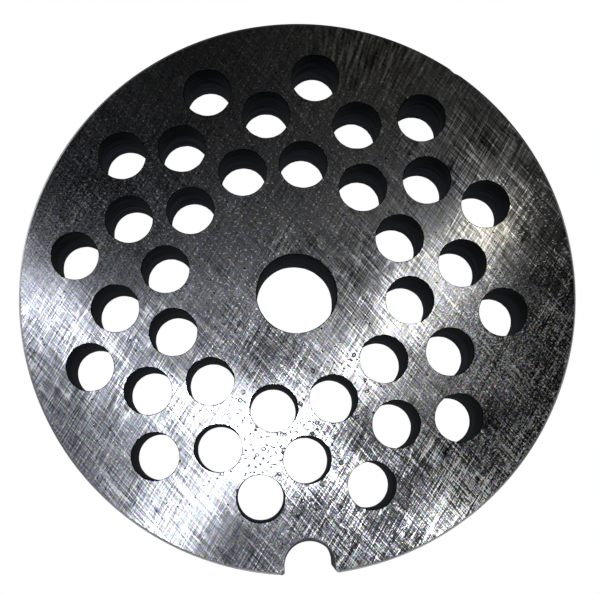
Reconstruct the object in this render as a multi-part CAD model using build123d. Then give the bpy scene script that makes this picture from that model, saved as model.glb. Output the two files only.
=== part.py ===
from build123d import *
from math import cos, radians, sin, sqrt
import os

# A flat round grinder plate, made of one disc of steel. Sizes are in millimetres.
# The origin is on the bore's axis, in the lower face, and the notch lies towards -Y.

# The disc, turned outside and ground flat on both faces
plate_diameter = 70.0
plate_thickness = 7.0
rim_break = 0.3

# The bore at the middle, which turns on the tip of the feed screw
bore_diameter = 10.0
bore_break = 0.25

# The cutting holes stand in staggered rings, and a hole's nearest neighbours are all one web away
hole_diameter = 6.0
hole_break = 0.2
web = 2.04
holes_per_ring = 12

# The flat land that is kept clear of holes, for the ring that clamps the plate
rim_land = 5.0

# The drilled field sits a little off the disc's centre, and is turned round from the notch
field_shift_x = -1.03
field_shift_y = 1.27
field_turn = 19.55

# The notch in the rim, which keeps the plate from turning
notch_width = 6.3
notch_depth = 4.15
notch_corner = 0.4

# The notch's round end is eased by a slanting cut at the upper face
notch_ease = 0.45

# How far each cutting shape runs past the face that it starts from
overrun = 0.3


def turned(points):
    """A profile in the X-Z plane, turned about the Z axis."""
    return revolve(Plane.XZ * make_face(Polyline(*points, close=True)), Axis.Z)


def notch_end():
    """The centre of the notch's half-round end."""
    return 0, notch_depth - notch_width / 2 - plate_diameter / 2


def blank():
    """The disc with its notch. Moving the outline in and out again rounds the mouth's corners."""
    reach = notch_depth + overrun
    slot = Circle(notch_width / 2) + Pos(0, -reach / 2) * Rectangle(notch_width, reach)
    outline = Circle(plate_diameter / 2) - Pos(*notch_end()) * slot
    moved_in = offset(outline, -notch_corner)
    return extrude(offset(moved_in, notch_corner), plate_thickness)


def rim_cut():
    """The ring of metal that comes off the upper corner of the outer wall."""
    radius = plate_diameter / 2
    run = rim_break + overrun
    return turned([
        (radius - run, plate_thickness + overrun),
        (radius + overrun, plate_thickness + overrun),
        (radius + overrun, plate_thickness - run),
    ])


def other_face(shape):
    """The same shape at the lower face."""
    return Pos(0, 0, plate_thickness) * mirror(shape, about=Plane.XY)


def drilling(diameter, edge_break):
    """What one straight hole takes away, with a 45 degree break at both faces."""
    radius = diameter / 2
    mouth = radius + edge_break + overrun
    return turned([
        (0, -overrun),
        (mouth, -overrun),
        (radius, edge_break),
        (radius, plate_thickness - edge_break),
        (mouth, plate_thickness + overrun),
        (0, plate_thickness + overrun),
    ])


def ring_radii():
    """The rings from the bore outwards, as many as leave the land at the rim clear.

    The first is as tight as its own holes allow. Each further one is turned by half
    a step, and lies where its holes come one web away from those of the ring inside.
    """
    pitch = hole_diameter + web
    half_step = radians(180 / holes_per_ring)
    farthest = plate_diameter / 2 - rim_land - hole_diameter / 2
    radii = []
    radius = pitch / (2 * sin(half_step))
    while radius <= farthest:
        radii.append(radius)
        across = min(radius * sin(half_step), pitch)
        staggered = radius * cos(half_step) + sqrt(pitch**2 - across**2)
        in_line = radii[-2] + pitch if len(radii) > 1 else 0
        radius = max(staggered, in_line)
    return radii


def hole_places():
    """Where the cutting holes stand, ring by ring."""
    step = 360 / holes_per_ring
    places = []
    for ring, radius in enumerate(ring_radii()):
        for hole in range(holes_per_ring):
            turn = radians(field_turn + (hole + ring / 2) * step)
            places.append((
                field_shift_x + radius * cos(turn),
                field_shift_y + radius * sin(turn),
            ))
    return places


def notch_easing():
    """A slanting round cut that takes the edge off the notch's end at the upper face."""
    x, y = notch_end()
    start = Pos(x, y, plate_thickness - notch_ease) * Circle(notch_width / 2)
    return extrude(start, sqrt(2) * (notch_ease + overrun), dir=(0, 1, 1))


def grinder_plate():
    """The finished plate, one solid."""
    hole = drilling(hole_diameter, hole_break)
    cuts = [Pos(*place) * hole for place in hole_places()]
    cuts.append(drilling(bore_diameter, bore_break))
    cuts.extend([rim_cut(), other_face(rim_cut()), notch_easing()])
    plate = blank() - cuts
    plate.label = "grinder_plate"
    return plate


os.makedirs("parts", exist_ok=True)
export_step(grinder_plate(), "parts/grinder_plate.step")
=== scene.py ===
import math
import random

import bmesh
import bpy
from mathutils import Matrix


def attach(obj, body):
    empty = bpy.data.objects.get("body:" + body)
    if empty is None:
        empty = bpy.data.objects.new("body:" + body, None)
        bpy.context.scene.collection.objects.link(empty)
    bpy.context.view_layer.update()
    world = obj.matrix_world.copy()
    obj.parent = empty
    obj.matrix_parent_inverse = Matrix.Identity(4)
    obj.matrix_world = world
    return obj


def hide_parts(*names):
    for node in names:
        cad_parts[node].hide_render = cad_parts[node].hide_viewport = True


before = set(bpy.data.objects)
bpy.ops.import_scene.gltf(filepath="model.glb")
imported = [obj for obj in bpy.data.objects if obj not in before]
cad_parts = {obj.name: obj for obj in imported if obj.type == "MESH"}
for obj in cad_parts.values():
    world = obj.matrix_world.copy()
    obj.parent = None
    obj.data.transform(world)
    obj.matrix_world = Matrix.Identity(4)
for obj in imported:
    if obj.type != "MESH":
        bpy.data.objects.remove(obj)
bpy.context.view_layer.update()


# The plate, in shape: a disc of tool steel, turned outside, with a bore, three staggered rings of
# cutting holes and a milled notch. The holes were drilled by hand in a jig, so each one wandered
# a little, and wear has taken the sharpness off every edge. Sizes are in millimetres.

random.seed(7)

plate_radius = 35.0
plate_thickness = 7.0
rim_rounding = 0.30

bore_radius = 5.0
bore_place = (0.0, 0.2)

hole_radius = 3.0
hole_rounding = 0.08
web = 2.04
holes_per_ring = 12
field_place = (-1.03, 1.27)
field_turn = 19.55

# How far the drill wandered to the right and up the page, ring by ring from the bore outwards
wandered = (
    ((-0.3, 0.1), (0.0, 0.2), (-0.1, 0.1), (0.2, 0.1), (0.0, 0.1), (0.0, 0.0),
     (0.0, 0.0), (-0.2, 0.2), (0.3, -0.1), (-0.2, 0.1), (-0.3, 0.2), (-0.1, 0.2)),
    ((0.1, 0.1), (0.3, 0.2), (0.1, 0.1), (-0.1, 0.1), (0.2, 0.0), (0.1, -0.1),
     (0.0, 0.0), (-0.2, -0.2), (-0.4, -0.1), (0.2, 0.0), (0.0, 0.1), (0.1, 0.0)),
    ((0.5, 0.1), (-0.1, 0.0), (0.0, -0.1), (0.3, 0.2), (-0.2, 0.2), (0.1, -0.1),
     (-0.1, -0.2), (0.2, -0.1), (0.2, -0.2), (0.0, -0.2), (0.3, 0.2), (0.0, 0.1)),
)

notch_half_width = 3.15
notch_depth = 4.15
notch_corner = 0.4
notch_ease = 0.45

# A small dent in the rim at the upper right
dent_turn = math.atan2(27.4, 21.3)
dent_depth = 0.35
dent_reach = 0.45

metal = bmesh.new()


def arc(centre, radius, start, end, steps):
    """Points along an arc, its angles in radians, without its last point."""
    turns = [start + (end - start) * k / steps for k in range(steps)]
    return [(centre[0] + radius * math.cos(t), centre[1] + radius * math.sin(t)) for t in turns]


def worn(count, unevenness):
    """One factor for each point along an edge, round 1, as uneven as hands and knives leave it."""
    swings = [(k, random.uniform(0, math.tau), random.uniform(0.2, 1.0)) for k in (2, 3, 5, 9, 14, 22)]
    return [
        1.0 + unevenness * sum(size * math.sin(k * math.tau * p / count + phase) for k, phase, size in swings)
        for p in range(count)
    ]


def sleeve(rings):
    """Skins the rings of one outline together, and gives the first and the last of them."""
    made = [[metal.verts.new([0.001 * c for c in place]) for place in ring] for ring in rings]
    for upper, lower in zip(made, made[1:]):
        for k in range(len(upper)):
            metal.faces.new((upper[k], upper[k - 1], lower[k - 1], lower[k])).smooth = True
    return made[0], made[-1]


def rounded(place_of, roundings):
    """Rings down one wall from the upper face to the lower, with both of its edges rounded off.

    place_of gives a point's place when it is moved back into the metal by so much.
    """
    rings = []
    bends = [math.radians(a) for a in (0, 30, 60, 90)]
    for bend in bends:
        rings.append([
            (*place_of(k, r * (1 - math.sin(bend))), plate_thickness - r * (1 - math.cos(bend)))
            for k, r in enumerate(roundings)
        ])
    deepest = max(roundings)
    for level in (plate_thickness - deepest - 0.25, deepest + 0.25):
        rings.append([(*place_of(k, 0.0), level) for k in range(len(roundings))])
    for bend in reversed(bends):
        rings.append([
            (*place_of(k, r * (1 - math.sin(bend))), r * (1 - math.cos(bend)))
            for k, r in enumerate(roundings)
        ])
    return rings


def drilled(centre, radius, rounding, steps):
    """One straight round hole."""
    wander = worn(steps, 0.0022)
    places = arc(centre, 1.0, 0, math.tau, steps)

    def place_of(k, back):
        reach = radius * wander[k] + back
        return [c + (p - c) * reach for c, p in zip(centre, places[k])]

    return sleeve(rounded(place_of, [rounding * w for w in worn(steps, 0.22)]))


# The outer outline, anticlockwise from the notch's right-hand corner and through the notch
corner_x = notch_half_width + notch_corner
corner_y = -math.sqrt((plate_radius - notch_corner) ** 2 - corner_x**2)
corner_turn = math.atan2(corner_y, corner_x)
end_y = notch_depth - notch_half_width - plate_radius
rim_points = arc((0, 0), plate_radius, corner_turn, math.pi - corner_turn, 560)
left_corner = arc((-corner_x, corner_y), notch_corner, -math.pi - corner_turn, 0, 10)
round_end = arc((0, end_y), notch_half_width, math.pi, 0, 56)
right_corner = arc((corner_x, corner_y), notch_corner, math.pi, math.tau + corner_turn, 10)
outline = rim_points + left_corner + round_end + right_corner
in_notch = [k >= len(rim_points) for k in range(len(outline))]
on_end = [0 <= k - len(rim_points) - len(left_corner) <= len(round_end) for k in range(len(outline))]

# The way into the metal at each point of the outline
inwards = []
for k, place in enumerate(outline):
    before, after = outline[k - 1], outline[(k + 1) % len(outline)]
    along_x, along_y = after[0] - before[0], after[1] - before[1]
    length = math.hypot(along_x, along_y)
    inwards.append((-along_y / length, along_x / length))


def dent(place):
    """How far the dent pushes this point of the rim in."""
    turn = math.atan2(place[1], place[0]) - dent_turn
    return dent_depth * math.exp(-((turn * plate_radius / dent_reach) ** 2))


def rim_place(k, back):
    """A point of the outer outline, moved into the metal by so much."""
    place, way = outline[k], inwards[k]
    return [c + w * back for c, w in zip(place, way)]


rim_wear = worn(len(outline), 0.05)
rim_rings = rounded(
    rim_place,
    [
        0.07 if in_notch[k] else (rim_rounding * rim_wear[k] + dent(place))
        for k, place in enumerate(outline)
    ],
)

# The notch's round end was eased by a slanting cut, which ends at the upper face
eased = []
for ring in rim_rings:
    eased.append([
        (x, y + max(0.0, z - plate_thickness + notch_ease), z) if on_end[k] else (x, y, z)
        for k, (x, y, z) in enumerate(ring)
    ])

sleeves = [sleeve(eased), drilled(bore_place, bore_radius, 0.12, 128)]

pitch = 2 * hole_radius + web
half_step = math.pi / holes_per_ring
ring_radii = [pitch / (2 * math.sin(half_step))]
while len(ring_radii) < len(wandered):
    last = ring_radii[-1]
    across = min(last * math.sin(half_step), pitch)
    staggered = last * math.cos(half_step) + math.sqrt(pitch**2 - across**2)
    in_line = ring_radii[-2] + pitch if len(ring_radii) > 1 else 0
    ring_radii.append(max(staggered, in_line))

for ring, (radius, drift) in enumerate(zip(ring_radii, wandered)):
    for hole, (drift_x, drift_y) in enumerate(drift):
        turn = math.radians(field_turn) + (hole + ring / 2) * 2 * half_step
        centre = (
            field_place[0] + radius * math.cos(turn) + drift_x,
            field_place[1] + radius * math.sin(turn) + drift_y,
        )
        sleeves.append(drilled(centre, hole_radius, hole_rounding, 80))

# The two ground faces close what is left between the outlines
for ends in zip(*sleeves):
    borders = [metal.edges.get((ring[k - 1], ring[k])) for ring in ends for k in range(len(ring))]
    filled = bmesh.ops.triangle_fill(metal, use_beauty=True, edges=borders)
    for face in filled["geom"]:
        if isinstance(face, bmesh.types.BMFace):
            face.smooth = False
bmesh.ops.recalc_face_normals(metal, faces=metal.faces)

plate_mesh = bpy.data.meshes.new("drilled_plate")
metal.to_mesh(plate_mesh)
metal.free()
plate = bpy.data.objects.new("drilled_plate", plate_mesh)
bpy.context.scene.collection.objects.link(plate)
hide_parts("grinder_plate")
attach(plate, "root")


# The plate's finish: two passes of the grinding wheel that crossed each other, so that a small
# lamp is drawn out into two streaks. Use has left scores, pits, nicks, dull flecks and curls of torn metal.
# Painted shade darkens the pits and nicks, the curls' glints are painted in as bright flecks, and patches
# of painted shade and painted highlight shape the lamp's highlight. The drilled walls are ringed and
# painted near black with painted shade, with painted light from the white table towards the lower face,
# and the rim is still as it was turned.

# The directions that the two passes ran in, in degrees from the plate's right-hand side
first_pass = 57.4
second_pass = -50.4

# The colours of the ground steel: plain, bluish, and straw where it was once warmed
plain_steel = (0.407, 0.40, 0.383, 1.0)
blue_steel = (0.375, 0.393, 0.455, 1.0)
straw_steel = (0.413, 0.393, 0.327, 1.0)


class Wire:
    """A socket of a finish. Sums on it add their Math nodes, and node() adds any other node."""

    def __init__(self, tree, socket=None):
        self.tree = tree
        self.socket = socket

    def node(self, kind, settings=(), values=(), output=0):
        """A new node: its settings are set first, then its sockets are filled or fed."""
        made = self.tree.nodes.new("ShaderNode" + kind)
        for name, setting in dict(settings).items():
            setattr(made, name, setting)
        for name, value in dict(values).items():
            if isinstance(value, Wire):
                self.tree.links.new(value.socket, made.inputs[name])
            else:
                made.inputs[name].default_value = value
        return Wire(self.tree, made.outputs[output] if made.outputs else None)

    def other(self, output):
        """Another output of the same node."""
        return Wire(self.tree, self.socket.node.outputs[output])

    def sum(self, operation, *terms):
        """A Math node, whose operation is named, fed with these terms."""
        return self.node("Math", {"operation": operation}, enumerate(terms))

    def __add__(self, other):
        return self.sum("ADD", self, other)

    def __radd__(self, other):
        return self.sum("ADD", other, self)

    def __sub__(self, other):
        return self.sum("SUBTRACT", self, other)

    def __rsub__(self, other):
        return self.sum("SUBTRACT", other, self)

    def __mul__(self, other):
        return self.sum("MULTIPLY", self, other)

    def __rmul__(self, other):
        return self.sum("MULTIPLY", other, self)

    def __truediv__(self, other):
        return self.sum("DIVIDE", self, other)

    def __rtruediv__(self, other):
        return self.sum("DIVIDE", other, self)

    def __pow__(self, other):
        return self.sum("POWER", self, other)

    def __rpow__(self, other):
        return self.sum("POWER", other, self)

    def __abs__(self):
        return self.sum("ABSOLUTE", self)

    def step(self, start, end):
        """Rises smoothly from 0 at start to 1 at end, or falls where end is the smaller."""
        low, high, to_low, to_high = (start, end, 0.0, 1.0) if start < end else (end, start, 1.0, 0.0)
        return self.node(
            "MapRange",
            {"interpolation_type": "SMOOTHSTEP"},
            {"Value": self, "From Min": low, "From Max": high, "To Min": to_low, "To Max": to_high},
        )

    def blend_colour(self, first, second):
        """First where this is 0 and second where it is 1."""
        return self.node("Mix", {"data_type": "RGBA"}, {0: self, 6: first, 7: second}, output=2)

    def scaled(self, times):
        """A place so many times as far out."""
        return self.node("VectorMath", {"operation": "SCALE"}, {0: self, "Scale": times})

    def among(self, angle, length, width, seed, height=1.0):
        """Where a point lies among marks of this length and width that run at this angle."""
        return self.node(
            "Mapping",
            {"vector_type": "TEXTURE"},
            {
                "Vector": self,
                "Location": (seed, 2 * seed, 0),
                "Rotation": (0, 0, math.radians(angle)),
                "Scale": (length, width, height),
            },
        )

    def grain(self, detail=0.0, dimensions="2D"):
        """Smooth random values round 0, about 1 strong, over a place."""
        found = self.node(
            "TexNoise",
            {"noise_dimensions": dimensions},
            {"Vector": self, "Scale": 1.0, "Detail": detail, "Roughness": 0.6},
        )
        return (found - 0.5) * 7.0

    def mixed(self, first, second):
        """One shader where this is 0 and the other where it is 1."""
        return self.node("MixShader", values={0: self, 1: first, 2: second})


steel = bpy.data.materials.new("ground_steel")
steel.use_nodes = True
steel.node_tree.nodes.clear()
finish = Wire(steel.node_tree)

# Places on the plate in millimetres, and which way its surface faces
per_metre = 1000.0
here = finish.node("TexCoord", output=3).scaled(per_metre)
across_x = finish.node("SeparateXYZ", values={"Vector": here})
across_y = across_x.other(1)
height = across_x.other(2)
from_middle = (across_x * across_x + across_y * across_y) ** 0.5
facing = finish.node("NewGeometry", output=1)
facing_x = finish.node("SeparateXYZ", values={"Vector": facing})
facing_y = facing_x.other(1)
facing_up = facing_x.other(2)
flat = abs(facing_up).step(0.9, 0.98)
facet_up = finish.node("SeparateXYZ", values={"Vector": facing.other(3)}).other(2)
wall = abs(facet_up).step(0.996, 0.985)


def near(x, y, reach):
    """1 at a place on the upper face, falling smoothly to 0 at this distance from it."""
    places = {0: here, 1: (x, y, plate_thickness)}
    return finish.node("VectorMath", {"operation": "DISTANCE"}, places, output=1).step(reach, 0)


hairline_length = 9.0


def hairlines(angle, spacing, seed):
    """Straight hairlines at about this angle: 1 along each, and 0 between them."""
    return abs(here.among(angle, hairline_length, spacing, seed).grain()).step(0.28, 0.04)


def grooves(angle, seed):
    """The marks of one pass at about this angle: over 0 where they shine, and under 0 where dark."""
    bright = hairlines(angle - 1.5, 1.1, seed) + hairlines(angle + 2.0, 0.9, seed + 5)
    dark = hairlines(angle + 0.5, 1.0, seed + 9)
    fine = here.among(angle, 6.0, 0.16, seed + 13).grain()
    return bright * 1.5 - dark * 1.7 + fine * 0.65


grooves_first = grooves(first_pass, 23)
grooves_second = grooves(second_pass, 41)
grit = here.among(0, 0.20, 0.17, 61).grain() * 0.9 + here.among(30, 0.38, 0.30, 67).grain() * 0.5

# Parts of the face that are each worn in their own way
patchy = here.among(0, 5.0, 5.0, 31).grain(1.0)
left_patch = near(-25, 14, 16)
right_side = across_x.step(24, 31)
right_middle = near(23, -8, 15)
below = across_y.step(8, -8)
below_bore = near(-2, -6, 12)
lower_right = across_y.step(-11, -22) * across_x.step(-8, 4)
lower_corner = across_x.step(17, 26) * below
pitted = near(-3, -19, 13) + near(6, -11, 7)

# How deep the grooves are
depth = (
    0.17
    + below * 0.25
    + left_patch * 0.15
    + right_side * 0.25
    + lower_right * 0.35
    + lower_corner * 0.15
    - right_middle * 0.15
    + near(24, 12, 15) * 0.3
    + near(22, 19, 13) * 0.25
    + near(4, 2, 16) * 0.22
    - near(-8, -24, 11) * 0.2
) * (1.0 + patchy * 0.25)

# How torn the metal is between them
torn = (
    0.08
    + left_patch * 0.34
    + right_side * across_y.step(12, 2) * 0.2
    + right_middle * 0.2
    + lower_corner * 0.22
    + lower_right * 0.25
    + below_bore * 0.12
)

# Straight scores from use, few and crisp, which run nearly with the grooves of each pass
scores_first = here.among(first_pass - 3.0, 12.0, 0.42, 101).grain().step(1.45, 1.9)
scores_second = here.among(second_pass + 2.0, 10.0, 0.42, 107).grain().step(1.45, 1.9)

# Round pits of all sizes, each a dark ring of painted shade round its sloping side with a light middle, and
# small dark nicks of painted shade among them
pit_spacing = 2.4
pit_far = finish.node(
    "TexVoronoi", {"voronoi_dimensions": "2D"}, {"Vector": here.scaled(1.0 / pit_spacing), "Scale": 1.0}
)
pit_size = finish.node("SeparateXYZ", values={"Vector": pit_far.other(1)})
pit_reach = pit_far * pit_spacing / (0.55 + pit_size * 0.6)
pit_shade = (pit_reach.step(0.36, 0.24) - pit_reach.step(0.17, 0.06) * 0.9) * pitted.step(0.1, 0.4)
nick_shade = (here.among(-20, 0.46, 0.34, 113).grain() + pitted * 1.1).step(2.2, 2.6)

# Little curls of torn metal, whose glints are painted into the steel's colour as bright flecks
glinting_curl_places = patchy * 0.3 + (right_side + left_patch + right_middle + lower_corner + below_bore) * 0.25
painted_curl_glints = (here.among(25, 0.42, 0.26, 93).grain() + glinting_curl_places).step(2.2, 2.6)

# Streaks across the rim's land at the upper right, where the plate was wiped outwards
around = across_x.sum("ARCTAN2", across_y, across_x)
outwards = finish.node("CombineXYZ", values={"X": around * 80.0, "Y": from_middle * 0.3, "Z": 0.0})
wiped = outwards.grain() * near(12, 32, 13)

# Patches that darken the steel's colour, and lighten it where the loss is below 0: painted shade and painted
# highlight that shape the lamp's highlight. Each has its place, reach, and how much lightness is lost
patches = (
    # Upper right
    (25, 18, 8, 0.6), (32, 14, 10, 0.8), (31, 9, 8, 0.45), (24, 7, 5, -0.5), (18, 11, 7, 0.4),
    # Right
    (33, 6, 13, 0.8), (27, 2, 9, 0.4), (31, -5, 13, 0.65), (35, -16, 12, 0.4), (20, -1, 10, 0.35),
    # Lower right
    (15, -8, 6, 0.4), (20, -20, 11, 0.6), (24, -17, 7, 0.4), (16, -36, 13, 0.6), (12, -25, 6, 0.6),
    (13, -31, 7, 0.4), (9, -28, 10, 0.8), (10, -21, 9, 0.45), (7, -18, 7, 0.75),
    # Bottom
    (1, -27, 8, 0.75), (-8, -30, 9, 0.65), (-14, -27, 9, 0.25), (-6, -21, 10, 0.2),
    # Left, from below to the top
    (-24, -18, 13, -0.25), (-24, -4, 11, 0.2), (-21, -8, 7, 0.7), (-15, -8, 6, 0.7), (-24, 1, 6, 0.3),
    (-20, 5, 8, 0.3), (-26, 15, 17, 0.6), (-12, 30, 24, 0.55),
    # Round the bore
    (-10, -4, 6, 0.45), (-4, -8, 7, 0.7), (2, -9, 7, 0.65), (7, -4, 6, 0.7), (8, 1, 5, 0.5), (7, 5, 6, 0.35),
)
# The steel's colour is also made darker towards the rim at the right
patched_lightness = 1.0 - from_middle.step(26, 35) * across_x.step(16, 30) * 0.5
for patch_x, patch_y, reach, loss in patches:
    patched_lightness = patched_lightness * (1.0 - near(patch_x, patch_y, reach) * loss)

# How light the steel is: each mark makes it so many times lighter or darker
marks = (
    (grooves_first + grooves_second) * (depth * 1.25)
    + grit * (torn * 1.6)
    + (scores_second - scores_first) * (0.3 + torn) * patchy.step(-0.8, 0.4)
    + wiped * 0.9
)
# Painted shade of the pits and nicks darkens the steel's colour
outside_pit_shade = (1.0 - pit_shade * 0.95) * (1.0 - nick_shade * 0.95)
# Painted glints of the curls lighten the steel's colour
tone = 2.0 ** (marks - depth * 0.5) * patched_lightness * outside_pit_shade + painted_curl_glints * (0.2 + torn * 3.0)
held = finish.node("Clamp", values={"Value": tone, "Min": 0.03, "Max": 2.4})

# The steel is bluish at the left and below, warmer at the top, and speckled with faint colours
warmed = across_x * -0.03 - abs(across_y) * 0.01 - across_y * 0.02 + near(19, 12, 9) * 0.8
cool = (warmed + here.among(20, 1.4, 1.4, 83).grain(2.0) * 0.5).step(-1.4, 1.0)
straw = near(25, 8, 8) * 0.8 + near(12, 32, 14) * 0.8
tint = straw.blend_colour(cool.blend_colour(plain_steel, blue_steel), straw_steel)
red_speck = here.among(0, 0.36, 0.30, 97).grain() * (0.04 + below * 0.04 + torn * 0.09)
blue_speck = here.among(40, 0.42, 0.34, 99).grain() * (0.06 + below * 0.05 + torn * 0.13)
specks = finish.node(
    "CombineXYZ",
    values={
        "X": held * (1.0 + red_speck),
        "Y": held * (1.0 - red_speck * 0.6 + blue_speck * 0.3),
        "Z": held * (1.0 - blue_speck),
    },
)
shade = finish.node("VectorMath", {"operation": "MULTIPLY"}, {0: tint, 1: specks})

# The face is not quite flat, and each groove leans it a little along its pass
wave_slope = 0.005
groove_slope = 0.0015
waves_x = here.among(0, 4.0, 4.0, 71).grain(2.0) * wave_slope
waves_y = here.among(0, 4.0, 4.0, 77).grain(2.0) * wave_slope


def leaned(x, y):
    """The way the surface faces, leaned over by these two slopes where it is flat."""
    leant = {"X": facing_x + x * flat, "Y": facing_y + y * flat, "Z": facing_up}
    return finish.node("VectorMath", {"operation": "NORMALIZE"}, {0: finish.node("CombineXYZ", values=leant)})


def ground(angle, own_grooves):
    """Steel whose fine grooves all run one way, so that it shines in a streak across them."""
    along_x = math.cos(math.radians(angle))
    along_y = math.sin(math.radians(angle))
    lean_x = own_grooves * (groove_slope * along_x) + waves_x
    lean_y = own_grooves * (groove_slope * along_y) + waves_y
    return finish.node(
        "BsdfPrincipled",
        values={
            "Base Color": shade,
            "Metallic": 1.0,
            "Roughness": 0.38,
            "Anisotropic": 1.0,
            "Tangent": finish.node("CombineXYZ", values={"X": -along_y, "Y": along_x, "Z": 0.0}),
            "Normal": leaned(lean_x, lean_y),
        },
    )


share_second = 0.5 + (grooves_second - grooves_first) * (depth * 0.06)
streaks = share_second.mixed(ground(first_pass, grooves_first), ground(second_pass, grooves_second))

# Between the grooves the metal is torn and dull, and more so in small flecks
dull = finish.node(
    "BsdfPrincipled",
    values={"Base Color": shade, "Metallic": 1.0, "Roughness": 0.45, "Normal": leaned(waves_x, waves_y)},
)
flecks = (here.among(0, 0.34, 0.28, 91).grain() + torn * 1.2).step(1.6, 2.1)
dull_share = 0.13 - across_y.step(0, 25) * 0.06 + flecks * 0.4
faces = dull_share.mixed(streaks, dull)

# Drilling left rings round the holes' walls. Their colour is painted near black as painted shade, and lighter
# towards the lower face as painted light from the white table below
shaded_wall_steel = (0.008, 0.009, 0.011, 1.0)
wall_steel_lit_from_below = (0.25, 0.28, 0.36, 1.0)
# The rounded lips of the walls are painted near black: painted shade
shaded_lip_steel = (0.005, 0.006, 0.007, 1.0)
rings = here.among(0, 7.0, 7.0, 5, height=0.75).grain(2.0, "3D")
# Painted light from the white table below, which grows towards the lower face
lit_from_below = height.step(plate_thickness + 1, 0)
lip = abs(facing_up).step(0.1, 0.5)
ringed_and_shaded = (rings * 0.4 + lit_from_below * 1.4).step(0.1, 2.5).blend_colour(shaded_wall_steel, wall_steel_lit_from_below)
drilled_walls = finish.node(
    "BsdfPrincipled",
    values={"Base Color": lip.blend_colour(ringed_and_shaded, shaded_lip_steel), "Metallic": 1.0, "Roughness": 0.35},
)

# Turning left finer lines round the rim, which stays light
turned_dark = (0.28, 0.287, 0.30, 1.0)
turned_light = (0.533, 0.54, 0.553, 1.0)
turnings = here.among(0, 9.0, 9.0, 15, height=0.16).grain(0.0, "3D")
turned = (1.0 + rings * 0.2 + turnings * 0.3).step(0.0, 2.0).blend_colour(turned_dark, turned_light)
turned_rim = finish.node("BsdfPrincipled", values={"Base Color": turned, "Metallic": 1.0, "Roughness": 0.45})

# The notch's walls take part of the rim's finish and part of the holes' painted shade, so they are lighter
# than the holes' walls and darker than the rim
milled = across_y.step(-30.2, -30.8) * abs(across_x).step(4.2, 3.6) * 0.6
outside = 1.0 - (1.0 - from_middle.step(34.0, 34.4)) * (1.0 - milled)
walls = outside.mixed(drilled_walls, turned_rim)

output = steel.node_tree.nodes.new("ShaderNodeOutputMaterial")
steel.node_tree.links.new(wall.mixed(faces, walls).socket, output.inputs["Surface"])
plate_mesh.materials.append(steel)


# The table under it: a plain white sweep, so bright that it shows no shadow.

table_reach = 3.0
table_drop = -0.0002
table_mesh = bpy.data.meshes.new("table")
table_mesh.from_pydata(
    [(x * table_reach, y * table_reach, table_drop) for x, y in ((-1, -1), (1, -1), (1, 1), (-1, 1))],
    [],
    [(0, 1, 2, 3)],
)
table = bpy.data.objects.new("table", table_mesh)
bpy.context.scene.collection.objects.link(table)
sweep = bpy.data.materials.new("white_sweep")
sweep.use_nodes = True
sweep.node_tree.nodes.clear()
paper = Wire(sweep.node_tree)
paper_seen = paper.node("LightPath").mixed(
    paper.node("Emission", values={"Color": (0.85, 0.92, 1, 1), "Strength": 0.045}),
    paper.node("Emission", values={"Color": (1, 1, 1, 1), "Strength": 1.0}),
)
output = sweep.node_tree.nodes.new("ShaderNodeOutputMaterial")
sweep.node_tree.links.new(paper_seen.socket, output.inputs["Surface"])
table_mesh.materials.append(sweep)


# The room: white behind the plate and dim all round it.

room = bpy.data.worlds.new("room")
room.use_nodes = True
room.node_tree.nodes.clear()
air = Wire(room.node_tree)
air_seen = air.node("LightPath").mixed(
    air.node("Background", values={"Color": (0.8, 0.9, 1.0, 1), "Strength": 0.006}),
    air.node("Background", values={"Color": (1, 1, 1, 1), "Strength": 1.0}),
)
output = room.node_tree.nodes.new("ShaderNodeOutputWorld")
room.node_tree.links.new(air_seen.socket, output.inputs["Surface"])
bpy.context.scene.world = room


# The lamp: one small lamp close beside the lens, which gives the crossed highlight.

lamp_light = bpy.data.lights.new("lamp", "AREA")
lamp_light.shape = "DISK"
lamp_light.size = 0.006
lamp_light.energy = 0.081
lamp = bpy.data.objects.new("lamp", lamp_light)
lamp.location = (-0.0033, -0.0144, 0.110)
bpy.context.scene.collection.objects.link(lamp)


# Soft boxes stand low round the table, so that the face, the rim and the edges show from the
# sides. Each has its turn round the plate and its rise above the table, in degrees, and its power.

box_width = 0.36
box_height = 0.12
box_distance = 0.5
boxes = ((3, 8, 0.38), (140, 20, 0.09), (160, 14, 0.68), (235, 12, 0.45), (270, 8, 0.45), (304, 14, 0.38))

for turn, rise, power in boxes:
    box_light = bpy.data.lights.new("soft_box", "AREA")
    box_light.shape = "RECTANGLE"
    box_light.size = box_width
    box_light.size_y = box_height
    box_light.energy = power
    soft_box = bpy.data.objects.new("soft_box", box_light)
    out = box_distance * math.cos(math.radians(rise))
    up = box_distance * math.sin(math.radians(rise))
    soft_box.location = (out * math.cos(math.radians(turn)), out * math.sin(math.radians(turn)), up)
    soft_box.rotation_euler = (math.radians(90 - rise), 0, math.radians(turn + 90))
    soft_box.visible_camera = False
    bpy.context.scene.collection.objects.link(soft_box)


# The camera: close above the lower part of the plate, as in the photograph.

lens = bpy.data.cameras.new("camera")
lens.lens = 49.8
lens.sensor_width = 36
lens.shift_x = 0.08
lens.shift_y = 0.225
lens.clip_start = 0.001
camera = bpy.data.objects.new("camera", lens)
camera.location = (-0.00567, -0.02186, 0.11029)
camera.rotation_euler = [math.radians(a) for a in (2.712, 0.530, -2.706)]
bpy.context.scene.collection.objects.link(camera)
bpy.context.scene.camera = camera
bpy.context.scene.view_settings.view_transform = "Standard"
